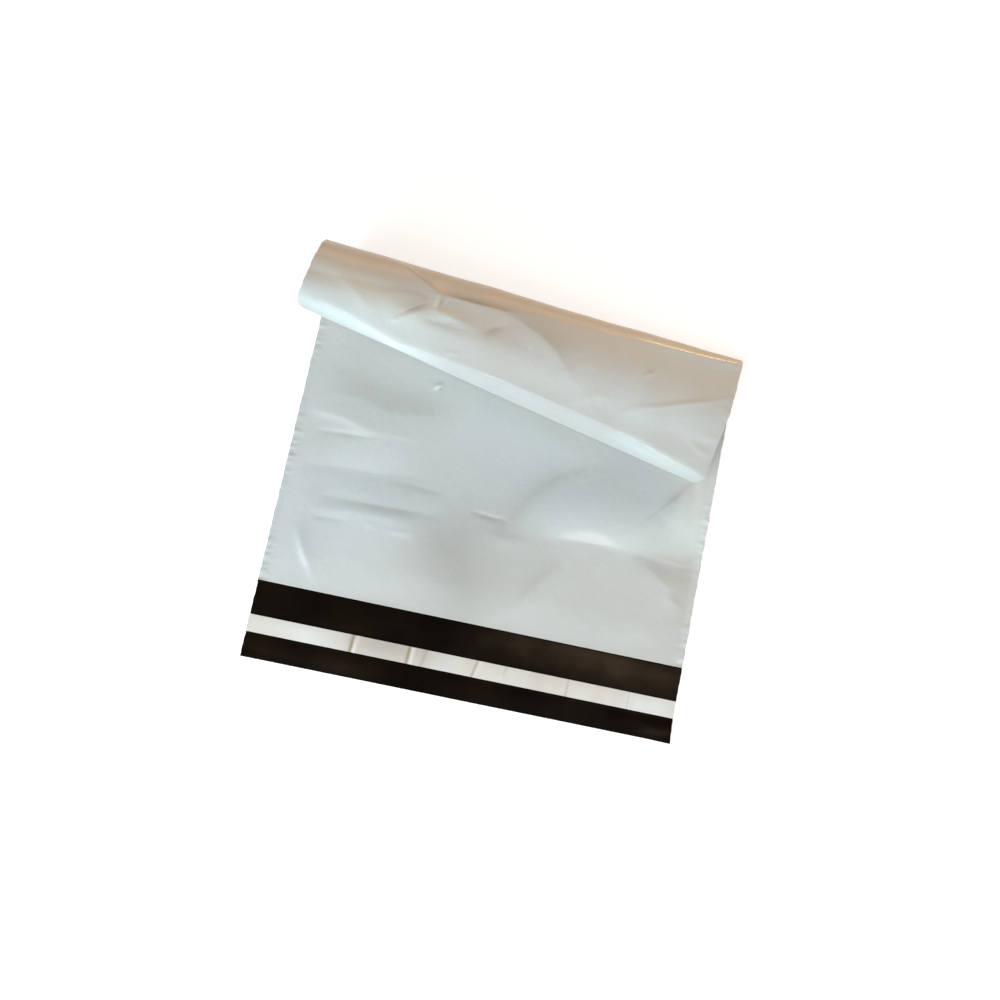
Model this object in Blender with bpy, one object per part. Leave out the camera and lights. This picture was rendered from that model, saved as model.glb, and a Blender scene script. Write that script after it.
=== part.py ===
"""Poly mailer bag: a flat pocket of plastic film with a gummed flap.

The bag lies on its back panel with the flap towards -Y. Its closed end is rolled up and over
towards the flap as a cone, wide at the left and tight at the right, and hovers over the front
panel. The film is one piece: the back panel is longer than the front panel by the flap, and the
two are joined by the fold at the closed end and by a welded seam down each side, so the pocket
is open only at the lip. An adhesive strip and its release liner lie across the flap.

Positions on the unrolled bag are (u, v): u runs from the left edge to the right edge, v from the
flap's free end to the closed end. Lengths are in metres.
"""
import math

import bmesh
import bpy
import numpy as np

# Bag, laid out flat
BAG_WIDTH = 0.254
BAG_LENGTH = 0.324
FLAP_LENGTH = 0.0445
CORNER_RADIUS = 0.006

# Film, modelled thicker than the real 0.06 mm so that it is a printable solid
FILM_THICKNESS = 0.0004
SIDE_SEAM_WIDTH = 0.004
END_SEAM_WIDTH = 0.008
POCKET_GAP = 0.0006
POCKET_EASE = 0.016

# Roll of the closed end, by the outer face of the back panel
ROLL_LENGTH_LEFT = 0.1175
ROLL_LENGTH_RIGHT = 0.096
ROLL_RADIUS_LEFT = 0.032
ROLL_RADIUS_RIGHT = 0.006
TAIL_DROOP = math.radians(1.0)

# Strips on the flap
STRIP_SEAT = 0.0003
ADHESIVE_WIDTH = 0.008
ADHESIVE_THICKNESS = 0.0002
LINER_WIDTH = 0.010
LINER_THICKNESS = 0.0002
LINER_FROM_FLAP_END = 0.0145
LINER_COCKLE = 0.0005
LINER_COCKLE_HALF_WIDTH = 0.003
LINER_COCKLES = (0.061, 0.094, 0.134, 0.189, 0.226)

# Ridges pressed into the front panel: start u and v, end u and v, half width, height
FACE_RIDGES = (
    (0.006, 0.149, 0.043, 0.142, 0.0065, 0.0016),
    (0.014, 0.136, 0.044, 0.140, 0.0055, 0.0010),
    (0.020, 0.123, 0.073, 0.125, 0.0065, 0.0017),
    (0.064, 0.116, 0.092, 0.115, 0.0055, 0.0010),
    (0.029, 0.099, 0.081, 0.101, 0.0065, 0.0013),
    (0.023, 0.085, 0.081, 0.088, 0.0060, 0.0012),
    (0.016, 0.075, 0.034, 0.049, 0.0060, 0.0014),
    (0.113, 0.108, 0.145, 0.101, 0.0060, 0.0010),
    (0.156, 0.103, 0.248, 0.104, 0.0070, 0.0018),
    (0.222, 0.131, 0.238, 0.153, 0.0070, 0.0016),
    (0.146, 0.067, 0.170, 0.089, 0.0070, 0.0012),
)

# Broad swells of the front panel: centre u and v, half length along u, half length along v, height
FACE_SWELLS = (
    (0.060, 0.155, 0.045, 0.030, 0.0020),
    (0.195, 0.125, 0.042, 0.026, 0.0022),
    (0.120, 0.075, 0.060, 0.024, 0.0013),
    (0.120, 0.165, 0.050, 0.022, 0.0016),
)

# Ridges pressed outwards in the roll: start u and v, end u and v, half width, height
ROLL_RIDGES = (
    (0.046, 0.316, 0.069, 0.285, 0.0060, 0.0016),
    (0.042, 0.297, 0.066, 0.287, 0.0050, 0.0010),
    (0.069, 0.285, 0.108, 0.276, 0.0065, 0.0015),
    (0.108, 0.276, 0.160, 0.289, 0.0070, 0.0012),
    (0.070, 0.302, 0.092, 0.294, 0.0055, 0.0010),
    (0.180, 0.315, 0.197, 0.300, 0.0060, 0.0012),
    (0.197, 0.300, 0.250, 0.270, 0.0065, 0.0016),
    (0.199, 0.302, 0.223, 0.297, 0.0055, 0.0010),
)
ROLL_RIDGE_FADE = 0.020

# Mesh density of the film, in strips
COLUMNS = 36
FLAP_ROWS = 3
FACE_ROWS = 26
ROLL_ROWS = 16
TAIL_ROWS = 5
CORNER_ROWS = 3
LINER_COLUMNS = 72

# Places worked out from the sizes above
ROLL_SWEEP = math.pi + TAIL_DROOP
ROLL_START_LEFT = BAG_LENGTH - ROLL_LENGTH_LEFT
ROLL_START_RIGHT = BAG_LENGTH - ROLL_LENGTH_RIGHT
ROLL_SLOPE = (ROLL_START_RIGHT - ROLL_START_LEFT) / BAG_WIDTH
APEX_U = BAG_WIDTH + BAG_WIDTH * ROLL_RADIUS_RIGHT / (ROLL_RADIUS_LEFT - ROLL_RADIUS_RIGHT)
APEX_V = ROLL_START_LEFT + ROLL_SLOPE * APEX_U
CONTACT_ANGLE = math.atan2(ROLL_START_LEFT - APEX_V, APEX_U)
CONE_SINE = ROLL_RADIUS_LEFT / math.hypot(APEX_U, ROLL_START_LEFT - APEX_V)
CONE_COSINE = math.sqrt(1.0 - CONE_SINE ** 2)
ROLL_ANGLE = ROLL_SWEEP * CONE_SINE
TAIL_START_LIMIT = BAG_LENGTH - 1.5 * max(END_SEAM_WIDTH, CORNER_RADIUS)


def clear_scene():
    """Remove whatever the open file holds."""
    for obj in list(bpy.data.objects):
        bpy.data.objects.remove(obj, do_unlink=True)


def film_material(name, colour, roughness):
    """A plain plastic or paper surface."""
    material = bpy.data.materials.new(name)
    material.use_nodes = True
    shader = material.node_tree.nodes["Principled BSDF"]
    shader.inputs["Base Color"].default_value = (*colour, 1.0)
    shader.inputs["Roughness"].default_value = roughness
    shader.inputs["Metallic"].default_value = 0.0
    material.diffuse_color = (*colour, 1.0)
    return material


def smooth_step(x):
    """0 below 0, 1 above 1, with a smooth rise between."""
    x = np.clip(x, 0.0, 1.0)
    return x * x * (3.0 - 2.0 * x)


def ridge_height(u, v, ridges):
    """Height of rounded ridges that each follow a straight run on the bag."""
    height = np.zeros_like(u)
    for start_u, start_v, end_u, end_v, half_width, peak in ridges:
        run_u = end_u - start_u
        run_v = end_v - start_v
        along = ((u - start_u) * run_u + (v - start_v) * run_v) / (run_u ** 2 + run_v ** 2)
        along = np.clip(along, 0.0, 1.0)
        distance = np.hypot(u - start_u - along * run_u, v - start_v - along * run_v)
        height += peak * np.exp(-(distance / half_width) ** 2)
    return height


def swell_height(u, v, swells):
    """Height of broad soft swells."""
    height = np.zeros_like(u)
    for centre_u, centre_v, half_u, half_v, peak in swells:
        height += peak * np.exp(-((u - centre_u) / half_u) ** 2 - ((v - centre_v) / half_v) ** 2)
    return height


def contact_line(u):
    """Where the back panel leaves the table, for each u."""
    return ROLL_START_LEFT + ROLL_SLOPE * u


def roll_line(u, share):
    """Where the bag has turned through a share of the roll's sweep, for each u."""
    return APEX_V + (APEX_U - u) * math.tan(CONTACT_ANGLE + share * ROLL_ANGLE)


def roll_frame(u, v):
    """The rolled place of each point of the back panel's outer face, and the normal there."""
    from_apex_u = u - APEX_U
    from_apex_v = v - APEX_V
    reach = np.hypot(from_apex_u, from_apex_v)
    past = np.arctan2(from_apex_v, -from_apex_u) - CONTACT_ANGLE
    turn = np.clip(past / CONE_SINE, 0.0, ROLL_SWEEP)[..., None]
    beyond = np.clip(past - ROLL_ANGLE, 0.0, None)[..., None]

    # The ruling that lies on the table, the direction across it, and up
    ruling = np.array((-math.cos(CONTACT_ANGLE), math.sin(CONTACT_ANGLE), 0.0))
    across = np.array((math.sin(CONTACT_ANGLE), math.cos(CONTACT_ANGLE), 0.0))
    upward = np.array((0.0, 0.0, 1.0))
    axis = CONE_COSINE * ruling + CONE_SINE * upward
    spoke = CONE_SINE * ruling - CONE_COSINE * upward

    ray = CONE_COSINE * axis + CONE_SINE * (np.cos(turn) * spoke + np.sin(turn) * across)
    tangent = -np.sin(turn) * spoke + np.cos(turn) * across
    apex = np.array((APEX_U, APEX_V, 0.0))
    rolled = apex + reach[..., None] * (np.cos(beyond) * ray + np.sin(beyond) * tangent)
    flat = np.stack((u, v, np.zeros_like(u)), axis=-1)
    point = np.where((past > 0.0)[..., None], rolled, flat)
    return point, np.cross(tangent, ray)


def back_lift(u, v):
    """How far the back panel stands off its smooth roll: nothing where it lies on the table."""
    fade = smooth_step((v - contact_line(u)) / ROLL_RIDGE_FADE)
    return -fade * ridge_height(u, v, ROLL_RIDGES)


def pocket_gap(u, v):
    """The space between the panels: nothing at the seams and widest under the front's ridges."""
    from_side = np.minimum(u - SIDE_SEAM_WIDTH, BAG_WIDTH - SIDE_SEAM_WIDTH - u)
    from_end = BAG_LENGTH - END_SEAM_WIDTH - v
    inside = np.clip(np.minimum(from_side, from_end) / POCKET_EASE, 0.0, 1.0)
    on_table = smooth_step((contact_line(u) - v) / ROLL_RIDGE_FADE)
    folds = ridge_height(u, v, FACE_RIDGES) + swell_height(u, v, FACE_SWELLS)
    return np.sin(0.5 * math.pi * inside) * (POCKET_GAP + on_table * folds)


def corner_inset(v):
    """How far a rounded closed-end corner draws the side edge in at v."""
    past = np.clip(v - (BAG_LENGTH - CORNER_RADIUS), 0.0, CORNER_RADIUS)
    return CORNER_RADIUS - np.sqrt(CORNER_RADIUS ** 2 - past ** 2)


def film_grid():
    """(u, v) of every grid point of the film, with the rows of the lip and of the end seam."""
    inner = np.linspace(SIDE_SEAM_WIDTH, BAG_WIDTH - SIDE_SEAM_WIDTH, COLUMNS - 1)
    columns = np.concatenate(((0.0,), inner, (BAG_WIDTH,)))

    contact = contact_line(columns)
    turned = roll_line(columns, 1.0)
    fit = np.minimum(1.0, (TAIL_START_LIMIT - contact) / (turned - contact))
    tail = contact + (turned - contact) * fit
    arc_ends = [BAG_LENGTH - CORNER_RADIUS * (1.0 - math.sin(0.5 * math.pi * step / CORNER_ROWS))
                for step in range(CORNER_ROWS + 1)]
    end_rows = sorted(set(arc_ends + [BAG_LENGTH - END_SEAM_WIDTH]))

    rows = [np.full_like(columns, FLAP_LENGTH * step / FLAP_ROWS) for step in range(FLAP_ROWS)]
    rows += [FLAP_LENGTH + (contact - FLAP_LENGTH) * step / FACE_ROWS for step in range(FACE_ROWS)]
    rows += [contact + (roll_line(columns, step / ROLL_ROWS) - contact) * fit
             for step in range(ROLL_ROWS)]
    rows += [tail + (end_rows[0] - tail) * step / TAIL_ROWS for step in range(TAIL_ROWS)]
    end_seam_row = len(rows) + end_rows.index(BAG_LENGTH - END_SEAM_WIDTH)
    rows += [np.full_like(columns, end) for end in end_rows]

    v = np.array(rows)
    inset = corner_inset(v)
    u = inset + (BAG_WIDTH - 2.0 * inset) * columns / BAG_WIDTH
    return u, v, FLAP_ROWS, end_seam_row


def add_layer(mesh, u, v, height):
    """Vertices of one face of a panel, at a height along the normal of the rolled bag."""
    point, normal = roll_frame(u, v)
    place = point + height[..., None] * normal
    return [[mesh.verts.new(corner) for corner in row] for row in place]


def add_strip(mesh, low, high, material_index=0):
    """Faces between two rows of vertices, leaving out the edges that both rows share."""
    for step in range(len(low) - 1):
        corners = []
        for vertex in (low[step], low[step + 1], high[step + 1], high[step]):
            if vertex not in corners:
                corners.append(vertex)
        if len(corners) > 2:
            mesh.faces.new(corners).material_index = material_index


def finish_object(name, mesh, materials):
    """Turn a closed bmesh into a smooth-shaded object."""
    bmesh.ops.recalc_face_normals(mesh, faces=mesh.faces)
    data = bpy.data.meshes.new(name)
    mesh.to_mesh(data)
    mesh.free()
    data.shade_smooth()
    data.set_sharp_from_angle(angle=math.radians(40.0))
    for material in materials:
        data.materials.append(material)
    obj = bpy.data.objects.new(name, data)
    bpy.context.scene.collection.objects.link(obj)
    return obj


def build_film():
    """The bag itself: two panels of film with the pocket open between them."""
    outside, inside = 0, 1
    u, v, lip, end_seam = film_grid()
    lift = back_lift(u, v)
    gap = pocket_gap(u, v)
    pocket = slice(1, COLUMNS)

    mesh = bmesh.new()
    back_outer = add_layer(mesh, u, v, lift)
    back_inner = add_layer(mesh, u, v, lift + FILM_THICKNESS)
    front_outer = add_layer(mesh, u[lip:], v[lip:], lift[lip:] + 2.0 * FILM_THICKNESS + gap[lip:])
    roof = slice(lip, end_seam)
    front_inner = add_layer(mesh, u[roof, pocket], v[roof, pocket],
                            lift[roof, pocket] + FILM_THICKNESS + gap[roof, pocket])

    # The welded seams: at a seam's inner edge both panels share one row of vertices
    for step, row in enumerate(front_inner):
        for side in (0, -1):
            mesh.verts.remove(row[side])
            row[side] = back_inner[lip + step][pocket][side]
    front_inner.append(back_inner[end_seam][pocket])

    # The buried middle of the closed end's seam isn't a face of the film
    for row in back_inner[end_seam + 1:-1]:
        for vertex in row[pocket]:
            mesh.verts.remove(vertex)

    for row in range(len(back_outer) - 1):
        add_strip(mesh, back_outer[row], back_outer[row + 1], outside)
    for row in range(len(front_outer) - 1):
        add_strip(mesh, front_outer[row], front_outer[row + 1], outside)
    for row in range(lip):
        add_strip(mesh, back_inner[row], back_inner[row + 1], inside)
    for row in range(lip, end_seam):
        add_strip(mesh, back_inner[row][pocket], back_inner[row + 1][pocket], inside)
        add_strip(mesh, front_inner[row - lip], front_inner[row - lip + 1], inside)

    # Cut edges: flap end, lip, both sides and the closed end
    add_strip(mesh, back_outer[0], back_inner[0])
    lip_edge = [back_inner[lip][0], *front_inner[0], back_inner[lip][-1]]
    add_strip(mesh, lip_edge, front_outer[0])
    add_strip(mesh, back_outer[-1], back_inner[-1])
    add_strip(mesh, back_inner[-1], front_outer[-1])
    for side in (0, -1):
        add_strip(mesh, [row[side] for row in back_outer], [row[side] for row in back_inner])
        add_strip(mesh, [row[side] for row in back_inner[lip:]], [row[side] for row in front_outer])

    grey = film_material("film_outside", (0.60, 0.64, 0.65), 0.32)
    black = film_material("film_inside", (0.012, 0.010, 0.009), 0.30)
    return finish_object("mailer_film", mesh, (grey, black))


def build_flap_strip(name, width, underside, thickness, cockle, material):
    """A thin strip across the flap, with low cross ripples where it has cockled."""
    middle = LINER_FROM_FLAP_END + 0.5 * LINER_WIDTH
    u = np.linspace(0.0, BAG_WIDTH, LINER_COLUMNS + 1)
    ripple = np.zeros_like(u)
    for centre in LINER_COCKLES:
        ripple += cockle * np.exp(-((u - centre) / LINER_COCKLE_HALF_WIDTH) ** 2)

    mesh = bmesh.new()
    rails = []
    for v, rise in ((middle - 0.5 * width, 0.0), (middle - 0.5 * width, thickness),
                    (middle + 0.5 * width, thickness), (middle + 0.5 * width, 0.0)):
        heights = underside + rise + ripple
        rails.append([mesh.verts.new((x, v, z)) for x, z in zip(u, heights)])
    for low, high in zip(rails, rails[1:] + rails[:1]):
        add_strip(mesh, low, high)
    mesh.faces.new([rail[0] for rail in rails])
    mesh.faces.new([rail[-1] for rail in reversed(rails)])
    return finish_object(name, mesh, (material,))


def build_strips():
    """The adhesive strip on the flap's film, and the release liner that covers it."""
    glue = film_material("adhesive", (0.62, 0.55, 0.40), 0.25)
    liner = film_material("liner", (0.72, 0.68, 0.64), 0.35)
    adhesive_underside = FILM_THICKNESS + STRIP_SEAT
    liner_underside = adhesive_underside + ADHESIVE_THICKNESS + STRIP_SEAT
    return [
        build_flap_strip("adhesive_strip", ADHESIVE_WIDTH, adhesive_underside,
                         ADHESIVE_THICKNESS, 0.0, glue),
        build_flap_strip("release_liner", LINER_WIDTH, liner_underside,
                         LINER_THICKNESS, LINER_COCKLE, liner),
    ]


def centre_on_origin(film, pieces):
    """Move every piece so that the bag stands on z = 0 with its plan centred on the origin."""
    corners = np.array([vertex.co[:] for vertex in film.data.vertices])
    low = corners.min(axis=0)
    high = corners.max(axis=0)
    for piece in pieces:
        piece.location = (-0.5 * (low[0] + high[0]), -0.5 * (low[1] + high[1]), -low[2])


def main():
    clear_scene()
    film = build_film()
    pieces = [film, *build_strips()]
    centre_on_origin(film, pieces)
    bpy.context.view_layer.update()


main()
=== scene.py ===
"""Looks of a poly mailer bag that lies flat with its closed end rolled up and over.

Positions on the unrolled bag are (u, v) in metres: u from the left edge to the right edge, v from
the flap's free end to the closed end. rolled() takes them to their place in the frame.
"""
import math

import bmesh
import bpy
import numpy as np
from mathutils import Matrix, Vector


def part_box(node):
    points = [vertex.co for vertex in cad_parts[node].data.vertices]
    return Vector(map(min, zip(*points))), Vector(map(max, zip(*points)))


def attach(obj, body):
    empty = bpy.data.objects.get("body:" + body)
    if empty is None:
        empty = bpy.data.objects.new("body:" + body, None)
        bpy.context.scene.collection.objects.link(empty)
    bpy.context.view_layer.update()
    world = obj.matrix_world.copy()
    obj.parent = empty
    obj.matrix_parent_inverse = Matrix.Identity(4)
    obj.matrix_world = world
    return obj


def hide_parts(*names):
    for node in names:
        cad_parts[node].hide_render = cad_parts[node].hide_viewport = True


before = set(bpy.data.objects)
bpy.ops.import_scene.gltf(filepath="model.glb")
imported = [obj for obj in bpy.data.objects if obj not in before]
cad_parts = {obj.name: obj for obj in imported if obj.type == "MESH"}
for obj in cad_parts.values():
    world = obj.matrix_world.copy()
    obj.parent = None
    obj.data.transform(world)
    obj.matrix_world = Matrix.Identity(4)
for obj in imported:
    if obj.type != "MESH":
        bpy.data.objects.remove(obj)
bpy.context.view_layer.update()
FILM_LOW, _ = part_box("mailer_film")
GLUE_LOW, GLUE_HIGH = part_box("adhesive_strip")
LINER_LOW, LINER_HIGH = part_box("release_liner")

MM = 0.001

# The flat bag, placed by the frame
LEFT_X = LINER_LOW[0]
FLAP_Y = FILM_LOW[1]
BAG_WIDTH = LINER_HIGH[0] - LINER_LOW[0]
BAG_LENGTH = 0.324
FLAP_LENGTH = 0.0445
CORNER_RADIUS = 0.006
SIDE_SEAM = 0.004
END_SEAM = 0.008

# The roll of the closed end
ROLL_START_LEFT = BAG_LENGTH - 0.1175
ROLL_START_RIGHT = BAG_LENGTH - 0.096
ROLL_RADIUS_LEFT = 0.032
ROLL_RADIUS_RIGHT = 0.006
ROLL_SWEEP = math.radians(181.0)
ROLL_SLOPE = (ROLL_START_RIGHT - ROLL_START_LEFT) / BAG_WIDTH
APEX_U = BAG_WIDTH + BAG_WIDTH * ROLL_RADIUS_RIGHT / (ROLL_RADIUS_LEFT - ROLL_RADIUS_RIGHT)
APEX_V = ROLL_START_LEFT + ROLL_SLOPE * APEX_U
CONTACT_ANGLE = math.atan2(ROLL_START_LEFT - APEX_V, APEX_U)
CONE_SINE = ROLL_RADIUS_LEFT / math.hypot(APEX_U, ROLL_START_LEFT - APEX_V)
CONE_COSINE = math.sqrt(1.0 - CONE_SINE ** 2)
ROLL_ANGLE = ROLL_SWEEP * CONE_SINE

# Film, and how the front panel lifts off the back panel away from the seams, the lip and the roll
FILM = 0.00025
POCKET_GAP = 0.0005
LEAST_GAP = 0.0002
PANEL_LIFT = 0.0006
LIFT_RISE = 0.024
POCKET_EASE = 0.014
FOLD_RISE = 0.030
FOLD_AT_LIP = 0.15
ROLL_FADE = 0.020

# Flap: its creases fade in at the lip and clear the strips, and its right corner curls up
FLAP_FADE = 0.008
FLAP_LIFT = 0.00018
STRIPS_MIDDLE = 0.0195
STRIPS_HALF = 0.006
STRIPS_FADE = 0.004
CORNER_CURL = 0.0022
CURL_RADIUS = 0.016

# Slack of loose film: seed, number of waves, shortest wave, longest wave, height
ROLL_SLACK = (5, 9, 0.030, 0.085, 0.00022)
FACE_SLACK = (11, 10, 0.028, 0.090, 0.00020)
FLAP_SLACK = (23, 7, 0.035, 0.100, 0.00010)
LINER_SLACK = (31, 6, 0.020, 0.060, 0.00006)

# Puckers of the side seams: seed, lengths of the waves, their greatest lean, how far they are
# raised before the hollows are cut off, height, reach from the edge, patch length
CRIMP_SEED = 3
CRIMP_WAVES = (0.0031, 0.0047, 0.0083, 0.0172)
CRIMP_LEAN = 0.4
CRIMP_RAISE = 1.6
CRIMP_HEIGHT = 0.00016
CRIMP_REACH = 0.0042
CRIMP_PATCH = 0.071

# Wander of the cut side edges: (length, phase, strength) of each wave, height, reach
EDGE_WAVES = ((0.00092, 0.0, 1.0), (0.0021, 1.7, 1.0), (0.0049, 0.4, 0.8))
EDGE_HEIGHT = 0.00010
EDGE_REACH = 0.003

# Liner and adhesive: how far each sits above the film, its thickness, and its columns of faces
LINER_SEAT = 0.0003
LINER_THICKNESS = 0.00012
LINER_COLUMNS = 420
LINER_CROWN = 0.00012
GLUE_SEAT = 0.00005
GLUE_THICKNESS = 0.0001
GLUE_COLUMNS = 60
STRIP_ROWS = 7

# Camera, fitted to the photograph: place in bag coordinates, and its right, down and forward axes
CAMERA_PLACE = (0.0996, 0.0556, 0.5321)
CAMERA_RIGHT = (0.97591, 0.20452, 0.07601)
CAMERA_DOWN = (0.21184, -0.97158, -0.10566)
CAMERA_FORWARD = (0.05224, 0.11921, -0.99149)
CAMERA_LENS = 32.4

# Mesh density, and how many grid lines the coarser blocks skip
COLUMNS = 240
RIM_SHARES = (0.0, 0.3, 0.6)
FLAP_ROWS = 40
FACE_ROWS = 150
ROLL_ROWS = 96
TAIL_ROWS = 48
TAIL_MARGIN = 1.5 * END_SEAM
CORNER_ROWS = 6
COARSE = 8
FLAP_COARSE = 2
INSIDE_ROLL = 3

# Edges that bend more than this stay sharp
SHARP_ANGLE = math.radians(50.0)

# Lights: name, place, target, size, watts, colour
LIGHTS = (
    ("key", (-0.60, -0.72, 0.98), (0.0, 0.0, 0.0), (0.8, 0.8), 10.6, (1.0, 1.0, 0.985)),
    ("strip", (0.43, -0.26, 1.00), (0.43, 0.05, 0.03), (0.70, 0.05), 2.1, (1.0, 1.0, 0.98)),
    ("front", (-0.30, -1.00, 0.40), (0.0, 0.04, 0.03), (0.9, 0.4), 13.0, (0.72, 0.89, 1.0)),
    ("back", (0.24, 0.82, 0.20), (0.02, 0.12, 0.05), (0.9, 0.30), 2.7, (1.0, 0.42, 0.08)),
    ("gold", (0.37, 0.60, 0.23), (0.09, 0.11, 0.02), (0.16, 0.05), 0.9, (1.0, 0.72, 0.34)),
)

# The world's light on the bag, and the floor's half width, drop below the bag, grey and glow
WORLD_LIGHT = 0.12
FLOOR_HALF = 0.7
FLOOR_DROP = 0.0002
FLOOR_GREY = 0.52
FLOOR_GLOW = 0.70

# How creases round off at the top, fall away beside their line and fade at their ends
CREASE_ROUNDING = 0.45
SHADING_ROUNDING = 0.15
CREASE_FALL = 1.3
CREASE_END = 0.06
CREASE_FADE = 0.7
SWELL_FALL = 1.2

# Creases of the front panel: points (u, v) in mm, flank widths left and right in mm, height in mm
FACE_CREASES = (
    (((1, 151), (12, 149), (26, 148), (40, 144), (54, 143)), 13.0, 3.0, 0.9),
    (((18, 161), (34, 161), (52, 156), (84, 160)), 6.0, 10.0, 0.6),
    (((13, 137), (27, 138.5), (44, 139)), 1.0, 1.4, -0.30),
    (((3, 114), (28, 118), (48, 119), (78, 122)), 6.5, 8.0, -0.8),
    (((27, 99), (42, 100), (64, 100), (94, 102)), 4.0, 2.0, -0.42),
    (((62, 116), (72, 116.5), (95, 115)), 1.0, 1.2, -0.22),
    (((22, 92), (40, 94), (64, 95), (82, 93)), 5.0, 4.5, 0.5),
    (((22, 87), (40, 88)), 1.2, 1.4, -0.25),
    (((52, 89), (60, 88)), 0.9, 1.2, 0.3),
    (((66, 87), (82, 88)), 0.9, 1.2, 0.3),
    (((15, 78), (22, 65), (34, 47)), 5.0, 2.0, 0.9),
    (((113, 108.5), (134, 107)), 1.0, 1.2, -0.3),
    (((124, 98), (136, 97), (148, 98)), 4.0, 7.0, 0.5),
    (((150, 102), (163, 102.5), (186, 105), (207, 104), (224, 104)), 8.0, 9.0, -0.9),
    (((218, 99), (238, 89), (247, 97)), 6.0, 7.0, 0.8),
    (((222, 104), (236, 104), (252, 105)), 2.0, 3.0, 0.5),
    (((221, 132), (229, 141), (240, 154)), 2.4, 9.0, 1.0),
    (((150, 62), (158, 76), (170, 90)), 7.0, 6.0, 0.4),
    (((75, 177), (79, 180)), 0.8, 0.8, 0.8),
    (((236, 84), (244, 80), (251, 78)), 2.0, 3.5, 0.4),
    (((212, 56), (226, 60), (240, 58)), 6.0, 6.0, 0.10),
    (((84, 66), (104, 62), (122, 64)), 8.0, 8.0, 0.25),
    (((226, 160), (240, 172), (250, 190)), 3.0, 6.0, 0.6),
)

# Broad swells of the front panel: centre, half lengths along and across, turn in degrees, height
FACE_SWELLS = (
    ((190, 124), 46, 21, 10, 2.2),
    ((58, 152), 44, 24, -6, 1.1),
    ((50, 92), 38, 22, 4, 0.7),
    ((124, 168), 50, 20, -8, 0.7),
    ((214, 66), 32, 20, 10, 0.3),
)

# Creases that stand out of the roll: points (u, v) in mm, flank widths in mm, height in mm
ROLL_CREASES = (
    (((49, 312), (53, 305), (58, 299), (64, 291.5)), 0.9, 4.0, 0.9),
    (((50, 312), (55, 307), (60, 302), (66, 297.5)), 4.5, 0.9, 0.8),
    (((38, 300), (52, 294), (64, 292)), 6.0, 9.0, 0.5),
    (((42, 273), (47, 275.5), (56, 280), (64, 283), (70, 285)), 5.0, 1.1, 0.9),
    (((70, 285), (69, 294)), 0.9, 1.1, 1.0),
    (((73, 287), (72, 294)), 0.9, 0.9, -0.5),
    (((71, 284), (75, 280), (82, 278), (96, 276)), 1.6, 1.8, 0.7),
    (((72, 285), (79, 283.5), (89, 282), (99, 280), (107, 278)), 7.0, 1.1, 1.2),
    (((104, 279), (116, 280), (129, 283), (141, 288), (157, 299)), 7.0, 14.0, 0.9),
    (((70, 297), (78, 296), (88, 295)), 2.6, 2.6, 0.8),
    (((66, 303), (78, 301), (90, 299)), 2.2, 2.2, -0.5),
    (((100, 297), (105, 290), (110, 285)), 2.4, 2.4, -0.7),
    (((92, 296), (110, 297), (126, 296), (150, 297)), 4.0, 5.0, -0.12),
    (((82, 317), (84, 313), (93, 310.5)), 0.8, 0.9, -0.10),
    (((84, 315), (91, 312.6)), 0.9, 1.1, 0.14),
    (((146, 298), (152, 290), (156, 284)), 2.4, 3.4, -0.5),
    (((188, 307), (197, 299), (216, 290), (234, 279), (253, 267)), 8.0, 1.4, 0.6),
    (((190, 305), (200, 300), (210, 298), (222, 300)), 1.8, 2.6, 0.14),
    (((195, 277), (199, 274)), 1.0, 1.0, 0.4),
    (((238, 305), (245, 306), (252, 305)), 1.2, 1.6, 0.35),
    (((241, 298), (248, 297), (253, 295)), 1.0, 1.8, 0.3),
    (((237, 312), (243, 311), (249, 313)), 1.0, 1.6, 0.25),
    (((196, 258), (222, 253), (248, 248)), 1.6, 2.6, 0.30),
    (((212, 259), (226, 256), (244, 252)), 1.2, 1.6, 0.22),
    (((204, 262), (220, 260), (232, 257)), 1.6, 2.0, 0.16),
    (((14, 299), (26, 304), (40, 312)), 3.4, 3.4, 0.4),
    (((160, 312), (172, 302), (182, 299)), 4.0, 4.0, 0.5),
)

# Broad dents and swells of the roll, in the same form as those of the panel
ROLL_DENTS = (
    ((36, 290), 18, 10, 10, -0.6),
    ((170, 270), 24, 9, -12, 0.5),
    ((226, 304), 16, 8, -10, -0.3),
    ((206, 280), 20, 8, -25, -0.4),
)
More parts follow.
